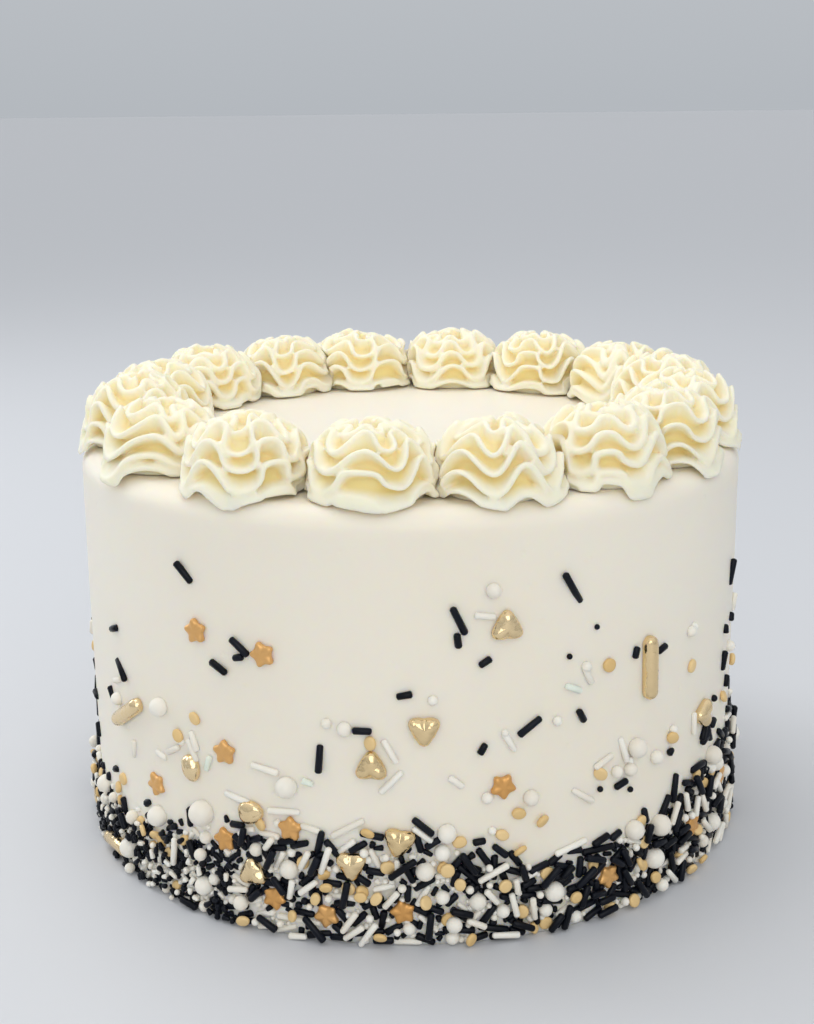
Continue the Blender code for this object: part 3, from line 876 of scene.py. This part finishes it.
class Heap:
    """All the sprinkles of one kind, gathered into one mesh."""

    def __init__(self, name, template, finish, slot):
        self.name = name
        self.faces = template[1]
        self.finish = finish
        self.slot = slot
        self.verts = []
        self.shades = []

    def add(self, verts, matrix, shade):
        turn = np.array(matrix.to_3x3())
        self.verts.append(verts @ turn.T + np.array(matrix.translation))
        self.shades.append(np.full(len(verts), shade))

    def finish_mesh(self):
        faces = []
        offset = 0
        for verts in self.verts:
            faces += [[corner + offset for corner in face] for face in self.faces]
            offset += len(verts)
        piece = new_object(self.name, np.concatenate(self.verts), faces)
        store(piece.data, "shade", np.concatenate(self.shades))
        piece.data.materials.append(self.finish)
        piece.data.shade_smooth()
        part_of_cake(piece, self.slot, "iced_cake")


# Where the sprinkles lie

LONG_KINDS = ("rod", "black", "white", "mint")
# Nothing of the second layer lies over these
UNCOVERED_KINDS = ("rod", "heart", "star", "pearl")

ROD_LENGTH = 19.0 * MM
ROD_WIDTH = 4.7 * MM
BLACK_WIDTH = 2.05 * MM
WHITE_WIDTH = 1.85 * MM
JIMMY_END_ROUNDING = 0.55
HEART_WIDTH = 8.6 * MM
HEART_THICKNESS = 4.6 * MM
STAR_WIDTH = 7.0 * MM
STAR_THICKNESS = 2.8 * MM
CONFETTI_WIDTH = 4.1 * MM
CONFETTI_THICKNESS = 1.5 * MM
BASE_CLEARANCE = 0.4 * MM
HEART_CLEARANCE_SHARE = 1.2
HIDDEN_SEED = 7
HIDDEN_SPACING = 1.15
HIDDEN_FROM = 80.0
HIDDEN_TO = 280.0
HIDDEN_TRIES = 30
HIDDEN_HEIGHT_SPREAD = 4.0

# The upper edge of the dense band: azimuth in degrees and height in millimetres
BAND_EDGE = (
    (-85, 23), (-70, 20), (-60, 20), (-50, 21), (-42, 23), (-33, 27), (-25, 32), (-12, 31), (0, 32),
    (10, 27), (20, 21), (30, 22), (40, 24), (48, 27), (56, 32), (66, 34), (80, 35), (100, 31),
    (125, 25), (150, 32), (180, 24), (205, 31), (232, 26), (252, 30),
)


def band_top(azimuth):
    places = [place for place, height in BAND_EDGE] + [BAND_EDGE[0][0] + 360]
    heights = [height for place, height in BAND_EDGE] + [BAND_EDGE[0][1]]
    start = places[0]
    return float(np.interp((azimuth - start) % 360 + start, places, heights)) * MM


def side_matrix(azimuth, height, stand_off, turn, nod):
    """A place on the cake's side: X runs to the right, Y up and Z outward, then turned."""
    angle = math.radians(azimuth)
    outward = Vector((math.sin(angle), -math.cos(angle), 0.0))
    right = Vector((math.cos(angle), math.sin(angle), 0.0))
    up = Vector((0.0, 0.0, 1.0))
    axes = Matrix((right, up, outward)).transposed().to_4x4()
    place = outward * (CAKE_RADIUS + stand_off) + up * height
    turned_in_place = Matrix.Rotation(math.radians(turn), 4, 'Z')
    nodded = Matrix.Rotation(math.radians(nod), 4, 'Y')
    return Matrix.Translation(place) @ axes @ turned_in_place @ nodded


class Sprinkle:
    """One piece on the side: its kind, place, turn, size and layer."""

    def __init__(self, kind, azimuth, height, turn, length, width, layer=0):
        self.kind = kind
        self.azimuth = azimuth
        self.turn = turn
        self.length = length
        self.width = width
        self.layer = layer
        lean = abs(math.sin(math.radians(turn))) if kind in LONG_KINDS else 1.0
        half_rise = 0.5 * (width + (length - width) * lean)
        if kind == "heart":
            half_rise *= HEART_CLEARANCE_SHARE
        self.height = max(height, half_rise + BASE_CLEARANCE)
        self.across = math.radians(azimuth) * CAKE_RADIUS

    def distance(self, other):
        """How far apart two pieces lie along the cake's side."""
        swing = (self.azimuth - other.azimuth + 180.0) % 360.0 - 180.0
        return math.hypot(math.radians(swing) * CAKE_RADIUS, self.height - other.height)

    def size(self):
        return 0.5 * (self.length + self.width)

    def ends(self):
        half = 0.5 * (self.length - self.width) if self.kind in LONG_KINDS else 0.0
        turn = math.radians(self.turn)
        step = (half * math.cos(turn), half * math.sin(turn))
        return (
            (self.across - step[0], self.height - step[1]),
            (self.across + step[0], self.height + step[1]),
        )


def round_sprinkles(kind, places):
    return [
        Sprinkle(kind, azimuth, height * MM, 0.0, diameter * MM, diameter * MM)
        for azimuth, height, diameter in places
    ]


def large_sprinkles():
    """The larger pieces, in the places that they have in the solids."""
    placed = []
    for kind, places, length, width in (
        ("rod", FRONT_RODS, ROD_LENGTH, ROD_WIDTH),
        ("heart", FRONT_HEARTS, HEART_WIDTH, HEART_WIDTH),
        ("star", FRONT_STARS, STAR_WIDTH, STAR_WIDTH),
    ):
        for azimuth, height, turn in places:
            placed.append(Sprinkle(kind, azimuth, height * MM, turn, length, width))
    return placed + round_sprinkles("pearl", FRONT_PEARLS)


def small_front_sprinkles():
    placed = []
    for kind, places, width in (
        ("black", FRONT_BLACK, BLACK_WIDTH), ("white", FRONT_WHITE, WHITE_WIDTH),
        ("mint", FRONT_MINT, WHITE_WIDTH),
    ):
        for azimuth, height, turn, length in places:
            placed.append(Sprinkle(kind, azimuth, height * MM, turn, length * MM, width))
    for azimuth, height in FRONT_CONFETTI:
        size = CONFETTI_WIDTH
        placed.append(Sprinkle("confetti", azimuth, height * MM, 0.0, size, size))
    placed += round_sprinkles("pearl", FRONT_SMALL_PEARLS)
    return placed + round_sprinkles("black_bead", FRONT_BLACK_BEADS)


def point_to_segment(px, py, ax, ay, bx, by):
    dx = bx - ax
    dy = by - ay
    squared = dx * dx + dy * dy
    along = (px - ax) * dx + (py - ay) * dy
    share = min(1.0, max(0.0, along / squared)) if squared else 0.0
    return math.hypot(px - ax - share * dx, py - ay - share * dy)


def crosses(a, b, c, d):
    def side(p, q, r):
        return (q[0] - p[0]) * (r[1] - p[1]) - (q[1] - p[1]) * (r[0] - p[0])
    return side(a, b, c) * side(a, b, d) < 0.0 and side(c, d, a) * side(c, d, b) < 0.0


def clearance(first, second):
    """The distance between the middle lines of two pieces, laid flat."""
    a, b = first.ends()
    c, d = second.ends()
    around = FULL_TURN * CAKE_RADIUS
    shift = round((a[0] - c[0]) / around) * around
    c = (c[0] + shift, c[1])
    d = (d[0] + shift, d[1])
    if crosses(a, b, c, d):
        return 0.0
    return min(
        point_to_segment(*a, *c, *d), point_to_segment(*b, *c, *d),
        point_to_segment(*c, *a, *b), point_to_segment(*d, *a, *b),
    )


class Ground:
    """What lies where on the side, in cells, so that a new piece can look for room."""

    CELL = 6.0 * MM

    def __init__(self):
        self.cells = {}
        self.columns = int(FULL_TURN * CAKE_RADIUS / self.CELL)

    def cell(self, piece):
        return int(piece.across // self.CELL) % self.columns, int(piece.height // self.CELL)

    def near(self, piece, reach=2):
        column, row = self.cell(piece)
        for step in range(-reach, reach + 1):
            for rise in range(-reach, reach + 1):
                yield from self.cells.get(((column + step) % self.columns, row + rise), ())

    def has_room(self, piece, closeness):
        for other in self.near(piece):
            if other.layer != piece.layer and other.kind not in UNCOVERED_KINDS:
                continue
            wanted = 0.5 * closeness * (piece.width + other.width)
            if clearance(piece, other) < wanted:
                return False
        return True

    def put(self, piece):
        self.cells.setdefault(self.cell(piece), []).append(piece)


# What the layers are made of: kind, chance, shortest and longest in millimetres, and width,
# which is 0 for a piece as wide as it is long
UNDER_MIX = (
    ("black", 0.74, 4.0, 9.0, 2.05), ("white", 0.14, 4.0, 9.5, 1.85),
    ("confetti", 0.06, 3.4, 4.4, 0.0), ("pearl", 0.03, 3.2, 4.6, 0.0),
    ("white_bead", 0.03, 1.8, 2.8, 0.0),
)
OVER_MIX = (
    ("black", 0.52, 4.5, 9.5, 2.05), ("white", 0.25, 4.5, 10.0, 1.85),
    ("confetti", 0.11, 3.5, 4.5, 0.0), ("pearl", 0.04, 3.2, 5.2, 0.0),
    ("star", 0.03, 6.0, 7.0, 0.0), ("white_bead", 0.05, 1.8, 2.8, 0.0),
)
BITS_MIX = (
    ("black", 0.66, 1.5, 3.4, 1.5), ("white", 0.22, 1.5, 3.6, 1.45),
    ("confetti", 0.04, 3.0, 4.0, 0.0), ("pearl", 0.03, 2.4, 4.2, 0.0),
    ("white_bead", 0.05, 1.2, 2.2, 0.0),
)
FILL_KINDS = ("black",) * 6 + ("white", "white_bead")
STRAY_MIX = (
    ("black", 0.40, 3.0, 8.5, 2.0), ("white", 0.30, 4.0, 8.5, 1.85),
    ("confetti", 0.16, 3.6, 4.4, 0.0), ("pearl", 0.09, 2.4, 4.6, 0.0),
    ("black_bead", 0.05, 1.5, 2.4, 0.0),
)
# Where most pieces are small broken bits: between two azimuths, and thickest low down
BITS_FROM = -76.0
BITS_TO = -28.0
BITS_BELOW = 14.0 * MM
BITS_CHANCE_LOW = 0.93
BITS_CHANCE_HIGH = 0.45

# How many places each step tries, and how close to a neighbour, as a share of their widths.
# Here and below, widths, spreads, means and bends that aren't times MM are in millimetres.
SCATTER_SEED = 107
FOOT_TRIES = 1500
FOOT_CLOSENESS = 0.82
FOOT_TURN = 28.0
UNDER_TRIES = 11000
UNDER_CLOSENESS = 0.78
OVER_TRIES = 4200
OVER_CLOSENESS = 1.0
OVER_BAND_SHARE = 0.93
FILL_TRIES = 12000
FILL_CLOSENESS = 0.70
FILL_BAND_SHARE = 0.97
FILL_WIDTHS = (1.3, 1.9)
FILL_STRETCHES = (1.2, 2.4)
STRAY_TRIES = 170
STRAY_CLOSENESS = 1.3
STRAY_AZIMUTHS = (86.0, 272.0)
STRAY_HEIGHT_MEAN = 20.0
STRAY_TOP = 104.0 * MM
BAND_EDGE_SPREAD = 2.2


def pick(draw, mix):
    total = sum(row[1] for row in mix)
    roll = draw.uniform(0.0, total)
    for kind, chance, shortest, longest, width in mix:
        roll -= chance
        if roll <= 0.0:
            break
    length = draw.triangular(shortest, longest, 0.6 * shortest + 0.4 * longest) * MM
    return kind, length, (width * MM if width else length)


def random_piece(draw, azimuth, height, layer, mix, turn_limit=90.0):
    bits_chance = BITS_CHANCE_LOW if height < BITS_BELOW else BITS_CHANCE_HIGH
    if BITS_FROM < (azimuth + 180.0) % 360.0 - 180.0 < BITS_TO and draw.random() < bits_chance:
        mix = BITS_MIX
    kind, length, width = pick(draw, mix)
    turn = draw.uniform(-turn_limit, turn_limit)
    return Sprinkle(kind, azimuth, height, turn, length, width, layer)


def scatter(ground, placed):
    """The band's pieces: a row along the foot, a first layer against the coat, a second on
    it, then small ones in what gaps are left, and last some strays above the band where the
    front doesn't show."""
    draw = random.Random(SCATTER_SEED)

    def try_piece(piece, closeness):
        if ground.has_room(piece, closeness):
            ground.put(piece)
            placed.append(piece)

    for number in range(FOOT_TRIES):
        azimuth = draw.uniform(-180.0, 180.0)
        piece = random_piece(draw, azimuth, 0.0, 0, UNDER_MIX, FOOT_TURN)
        try_piece(piece, FOOT_CLOSENESS)
    for number in range(UNDER_TRIES):
        azimuth = draw.uniform(-180.0, 180.0)
        top = band_top(azimuth) + draw.gauss(0.0, BAND_EDGE_SPREAD) * MM
        height = draw.uniform(0.0, 1.0) * top
        try_piece(random_piece(draw, azimuth, height, 0, UNDER_MIX), UNDER_CLOSENESS)
    for number in range(OVER_TRIES):
        azimuth = draw.uniform(-180.0, 180.0)
        height = draw.uniform(0.0, OVER_BAND_SHARE) * band_top(azimuth)
        try_piece(random_piece(draw, azimuth, height, 1, OVER_MIX), OVER_CLOSENESS)
    for number in range(FILL_TRIES):
        azimuth = draw.uniform(-180.0, 180.0)
        height = draw.uniform(0.0, FILL_BAND_SHARE) * band_top(azimuth)
        kind = draw.choice(FILL_KINDS)
        width = draw.uniform(*FILL_WIDTHS) * MM
        length = width * (draw.uniform(*FILL_STRETCHES) if kind in LONG_KINDS else 1.0)
        piece = Sprinkle(kind, azimuth, height, draw.uniform(-90.0, 90.0), length, width)
        try_piece(piece, FILL_CLOSENESS)
    for number in range(STRAY_TRIES):
        azimuth = draw.uniform(*STRAY_AZIMUTHS)
        height = band_top(azimuth) + draw.expovariate(1.0 / STRAY_HEIGHT_MEAN) * MM
        if height < STRAY_TOP:
            try_piece(random_piece(draw, azimuth, height, 0, STRAY_MIX), STRAY_CLOSENESS)


def hidden_large(placed):
    """Round the hidden side, as many large pieces again, each of the kind and about at the
    height of one on the front."""
    draw = random.Random(HIDDEN_SEED)
    for model in list(placed):
        for attempt in range(HIDDEN_TRIES):
            azimuth = draw.uniform(HIDDEN_FROM, HIDDEN_TO)
            height = model.height + draw.gauss(0.0, HIDDEN_HEIGHT_SPREAD) * MM
            turn = draw.uniform(0.0, 360.0)
            piece = Sprinkle(model.kind, azimuth, height, turn, model.length, model.width)
            if all(
                piece.distance(other) > 0.5 * HIDDEN_SPACING * (piece.size() + other.size())
                for other in placed
            ):
                placed.append(piece)
                break


def all_sprinkles():
    placed = large_sprinkles()
    hidden_large(placed)
    placed += small_front_sprinkles()
    ground = Ground()
    for piece in placed:
        ground.put(piece)
    scatter(ground, placed)
    return placed


# How the sprinkles look and sit

SUGARS = {
    "black_sugar": dict(
        first=(0.002, 0.003, 0.006), second=(0.006, 0.008, 0.014), roughness=0.32, gloss=0.16),
    "white_sugar": dict(
        first=(0.91, 0.88, 0.80), second=(0.84, 0.79, 0.69), roughness=0.42, translucent=0.6),
    "mint_sugar": dict(
        first=(0.82, 0.87, 0.77), second=(0.78, 0.84, 0.73), roughness=0.40, translucent=0.6),
    "pale_gold_sugar": dict(
        first=(0.86, 0.63, 0.31), second=(0.77, 0.52, 0.21), roughness=0.50, metallic=0.1),
    "star_gold_sugar": dict(
        first=(0.77, 0.44, 0.16), second=(0.69, 0.35, 0.10), roughness=0.34, metallic=0.5),
    "metallic_gold_sugar": dict(
        first=(0.90, 0.71, 0.43), second=(0.81, 0.61, 0.33), roughness=0.20, metallic=1.0,
        grain=300.0, depth=1.1 * MM),
}
# Each kind's piece, template, sugar and slot
KINDS = {
    "rod": ("gold_rods", ROD, "metallic_gold_sugar", "gold_leafed_sugar"),
    "heart": ("gold_hearts", PLUMP, "metallic_gold_sugar", "gold_leafed_sugar"),
    "star": ("gold_stars", PLUMP, "star_gold_sugar", "gold_sugar"),
    "confetti": ("gold_confetti", DISC, "pale_gold_sugar", "gold_sugar"),
    "pearl": ("white_pearls", BALL, "white_sugar", "white_sugar"),
    "white_bead": ("white_beads", BEAD, "white_sugar", "white_sugar"),
    "black_bead": ("black_beads", BEAD, "black_sugar", "black_sugar"),
    "black": ("black_jimmies", JIMMY, "black_sugar", "black_sugar"),
    "white": ("white_jimmies", JIMMY, "white_sugar", "white_sugar"),
    "mint": ("mint_jimmies", JIMMY, "mint_sugar", "white_sugar"),
}
SHAPE_SEED = 207
SECOND_LAYER = 1.8 * MM
# How far a piece's middle stands off the coat, as a share of its thickness
STAND_OFF_SHARE = 0.2
ROD_BEND = 0.4
JIMMY_BEND = 0.25
JIMMY_BEND_LENGTH = 8.0 * MM
JIMMY_UNEVEN = 0.1
JIMMY_NOD = 9.0
CHIP_LENGTH = 3.6 * MM
CHIP_UNEVEN = 0.35
CONFETTI_LEAST_SHARE = 0.72
CONFETTI_NOD = 55.0
CONFETTI_STAND_OFF = 0.5 * MM


def shaped(piece, draw):
    """A piece's vertices, how far its middle stands off the coat, its turn and its nod."""
    stand_off = piece.width * STAND_OFF_SHARE
    turn = piece.turn
    nod = 0.0
    if piece.kind == "rod":
        bend = draw.uniform(-ROD_BEND, ROD_BEND) * MM
        verts = rod_verts(ROD, piece.length, piece.width, bend)
    elif piece.kind in LONG_KINDS:
        bend = draw.gauss(0.0, JIMMY_BEND) * MM * piece.length / JIMMY_BEND_LENGTH
        uneven = CHIP_UNEVEN if piece.length < CHIP_LENGTH else JIMMY_UNEVEN
        taper = draw.uniform(-uneven, uneven)
        verts = rod_verts(JIMMY, piece.length, piece.width, bend, taper, JIMMY_END_ROUNDING)
        nod = draw.uniform(-JIMMY_NOD, JIMMY_NOD)
    elif piece.kind == "heart":
        place = (piece.azimuth, round(piece.height / MM, 1))
        if place in NARROW_HEARTS:
            verts = bean_verts(piece.width, HEART_THICKNESS, NARROW_HEARTS[place])
        else:
            verts = heart_verts(piece.width, HEART_THICKNESS)
        stand_off = HEART_THICKNESS * STAND_OFF_SHARE
    elif piece.kind == "star":
        verts = star_verts(piece.width, STAR_THICKNESS)
        stand_off = STAR_THICKNESS * STAND_OFF_SHARE
    elif piece.kind == "confetti":
        verts = confetti_verts(piece.width, CONFETTI_THICKNESS)
        verts[:, 0] *= draw.uniform(CONFETTI_LEAST_SHARE, 1.0)
        nod = draw.triangular(-CONFETTI_NOD, CONFETTI_NOD, 0.0)
        raised = STAND_OFF_SHARE * piece.width * abs(math.sin(math.radians(nod)))
        stand_off = CONFETTI_STAND_OFF + raised
        turn = draw.uniform(0.0, 360.0)
    else:
        template = BALL if piece.kind == "pearl" else BEAD
        verts = template[0] * 0.5 * piece.width
    return verts, stand_off, turn, nod


def build_sprinkles():
    finishes = {name: sugar_material(name, **look) for name, look in SUGARS.items()}
    heaps = {
        kind: Heap(name, template, finishes[sugar], slot)
        for kind, (name, template, sugar, slot) in KINDS.items()
    }
    draw = random.Random(SHAPE_SEED)
    for piece in all_sprinkles():
        verts, stand_off, turn, nod = shaped(piece, draw)
        stand_off += piece.layer * SECOND_LAYER
        matrix = side_matrix(piece.azimuth, piece.height, stand_off, turn, nod)
        heaps[piece.kind].add(verts, matrix, draw.random())
    for heap in heaps.values():
        heap.finish_mesh()


# The floor, the light and the camera

FLOOR_HALF = 60.0
FLOOR_COLOUR = (0.64, 0.655, 0.685)
ROOM_LOW = (0.457, 0.484, 0.517)
ROOM_HIGH = (0.86, 0.87, 0.88)
# Each lamp's name, place, size, power and colour
LAMPS = (
    ("key_above", (-0.35, 0.30, 1.15), 0.80, 3.5, (1.0, 0.985, 0.96)),
    ("front_fill", (0.15, -1.30, 0.75), 1.10, 5.4, (1.0, 0.985, 0.96)),
    ("left_edge", (-0.95, 0.45, 0.45), 0.50, 2.0, (0.93, 0.96, 1.0)),
)
LIGHT_TARGET = (0.0, 0.0, 0.08)


def build_room():
    """Soft light from all round, brighter overhead than at the horizon."""
    world = bpy.data.worlds.new("studio")
    world.use_nodes = True
    tree = world.node_tree
    place = tree.nodes.new("ShaderNodeTexCoord")
    split = tree.nodes.new("ShaderNodeSeparateXYZ")
    tree.links.new(place.outputs["Generated"], split.inputs["Vector"])
    height = mapped(tree, split.outputs["Z"], low=0.0, high=1.0)
    blend(tree, height, ROOM_LOW, ROOM_HIGH, tree.nodes["Background"].inputs["Color"])
    bpy.context.scene.world = world


def build_stage():
    half = FLOOR_HALF
    corners = [(-half, -half, 0), (half, -half, 0), (half, half, 0), (-half, half, 0)]
    floor = new_object("floor", corners, [(0, 1, 2, 3)])
    made, _, shader = new_material("pale_floor")
    put(shader, {"Base Color": (*FLOOR_COLOUR, 1.0), "Roughness": 0.6})
    floor.data.materials.append(made)
    build_room()
    for name, place, size, power, colour in LAMPS:
        lamp = bpy.data.lights.new(name, 'AREA')
        lamp.size = size
        lamp.energy = power
        lamp.color = colour
        holder = linked_object(name, lamp)
        holder.location = place
        aim = Vector(LIGHT_TARGET) - Vector(place)
        holder.rotation_euler = aim.to_track_quat('-Z', 'Y').to_euler()


def build_camera():
    data = bpy.data.cameras.new("camera")
    data.sensor_width = CAMERA_SENSOR_MM
    data.lens = CAMERA_FOCAL_PX * CAMERA_SENSOR_MM / FRAME_HEIGHT_PX
    camera = linked_object("camera", data)
    camera.matrix_world = (
        Matrix.Translation((0.0, -CAMERA_DISTANCE, CAMERA_HEIGHT))
        @ Matrix.Rotation(math.radians(CAMERA_YAW), 4, 'Z')
        @ Matrix.Rotation(math.radians(90.0 - CAMERA_PITCH), 4, 'X')
        @ Matrix.Rotation(math.radians(CAMERA_ROLL), 4, 'Z')
    )
    bpy.context.scene.camera = camera


bpy.context.scene.view_settings.view_transform = 'Standard'
build_coat(coat_material())
piped = piped_material()
for number in range(len(ROSETTE_AZIMUTHS)):
    build_rosette(number, piped)
build_sprinkles()
build_stage()
build_camera()
